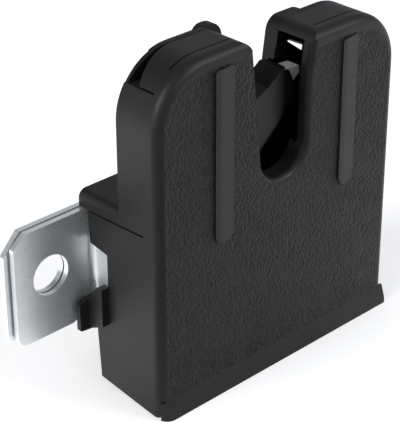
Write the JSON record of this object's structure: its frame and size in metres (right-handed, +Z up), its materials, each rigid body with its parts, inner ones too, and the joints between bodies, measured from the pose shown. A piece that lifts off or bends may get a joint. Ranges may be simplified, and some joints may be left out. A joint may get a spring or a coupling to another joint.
{
  "type": "tailgate lock",
  "caption": "Rotary tailgate latch: black moulded cover with two towers and a striker slot, claw, pawl, zinc bracket with bolt ears, worm-driven release.",
  "frame": {"origin": "middle of the width and of the depth, level with the foot", "axes": "+X along the grained front face to the right, +Y from that face to the back, +Z up, out of the striker slot"},
  "size_m": [0.132, 0.0478, 0.0948],
  "materials": {
    "cover_plastic": "black moulded, fine pebble grain on the front, satin elsewhere",
    "housing_plastic": "black moulded, satin",
    "slot_rubber": "matt black",
    "zinc_sheet": "bright zinc plated, pale blue sheen",
    "zinc_back": "bright zinc plated",
    "strap_steel": "zinc plated strip",
    "claw_steel": "blanked steel, plated",
    "claw_plastic": "black overmoulding, satin",
    "rivet_steel": "turned and riveted",
    "spring_steel": "oiled spring wire",
    "pawl_steel": "blanked steel",
    "lever_steel": "zinc plated strip",
    "drive_plastic": "black moulded",
    "lid_plastic": "black moulded",
    "motor_steel": "drawn can",
    "motor_plastic": "natural end cap",
    "shaft_steel": "ground",
    "worm_brass": "turned",
    "wheel_plastic": "natural acetal",
    "contact_brass": "stamped strip",
    "switch_plastic": "black moulded",
    "plunger_plastic": "moulded",
    "screw_steel": "zinc plated"
  },
  "bodies": {
    "housing": {"front_cover": "cover_plastic", "latch_housing": "housing_plastic", "slot_buffer": "slot_rubber", "frame_plate": "zinc_sheet", "back_plate": "zinc_back", "front_strap": "strap_steel", "claw_pivot": "rivet_steel", "claw_spring": "spring_steel", "pawl_pivot": "rivet_steel", "pawl_spring": "spring_steel", "drive_housing": "drive_plastic", "drive_cover": "lid_plastic", "motor_can": "motor_steel", "motor_cap": "motor_plastic", "wheel_shaft": "shaft_steel", "contact_strips": "contact_brass", "connector_pins": "contact_brass", "switch_body": "switch_plastic", "frame_screws": "screw_steel", "plate_screws": "screw_steel", "lid_screws": "screw_steel"},
    "claw": {"claw_core": "claw_steel", "claw_jacket": "claw_plastic"},
    "pawl": {"pawl": "pawl_steel"},
    "lever": {"release_lever": "lever_steel"},
    "wheel": {"worm_wheel": "wheel_plastic"},
    "rotor": {"motor_shaft": "shaft_steel", "worm": "worm_brass"},
    "plunger": {"switch_plunger": "plunger_plastic"}
  },
  "joints": [
    {"name": "claw_turn", "type": "hinge", "parent": "housing", "child": "claw", "pos_m": [-0.024, -0.01225, 0.064], "axis": [0, 1, 0], "range_deg": [0, 46], "stiffness_Nm_per_rad": 0.02, "springref_deg": -11.46, "deforming": ["claw_spring"]},
    {"name": "wheel_turn", "type": "hinge", "parent": "housing", "child": "wheel", "pos_m": [0.012, 0.00635, 0.027], "axis": [0, 1, 0], "range_deg": [0, 120]},
    {"name": "pawl_turn", "type": "hinge", "parent": "housing", "child": "pawl", "pos_m": [-0.0218, -0.01225, 0.042], "axis": [0, 1, 0], "range_deg": [-6.5, 0.5], "deforming": ["pawl_spring"]},
    {"name": "lever_turn", "type": "hinge", "parent": "housing", "child": "lever", "pos_m": [-0.0218, -0.00515, 0.042], "axis": [0, 1, 0], "range_deg": [-6.5, 0.5]},
    {"name": "rotor_turn", "type": "hinge", "parent": "housing", "child": "rotor", "pos_m": [0.012, 0.00635, 0.0108], "axis": [1, 0, 0], "range_deg": [-3130, 3130]},
    {"name": "switch_press", "type": "slide", "parent": "housing", "child": "plunger", "axis": [0, 0, -1], "range_m": [0, 0.0008], "stiffness_N_per_m": 120, "springref_m": -0.001}
  ],
  "couplings": [
    {"joint": "pawl_turn", "follows": "wheel_turn", "ratio": -0.05},
    {"joint": "lever_turn", "follows": "wheel_turn", "ratio": -0.05},
    {"joint": "rotor_turn", "follows": "wheel_turn", "ratio": 26}
  ]
}
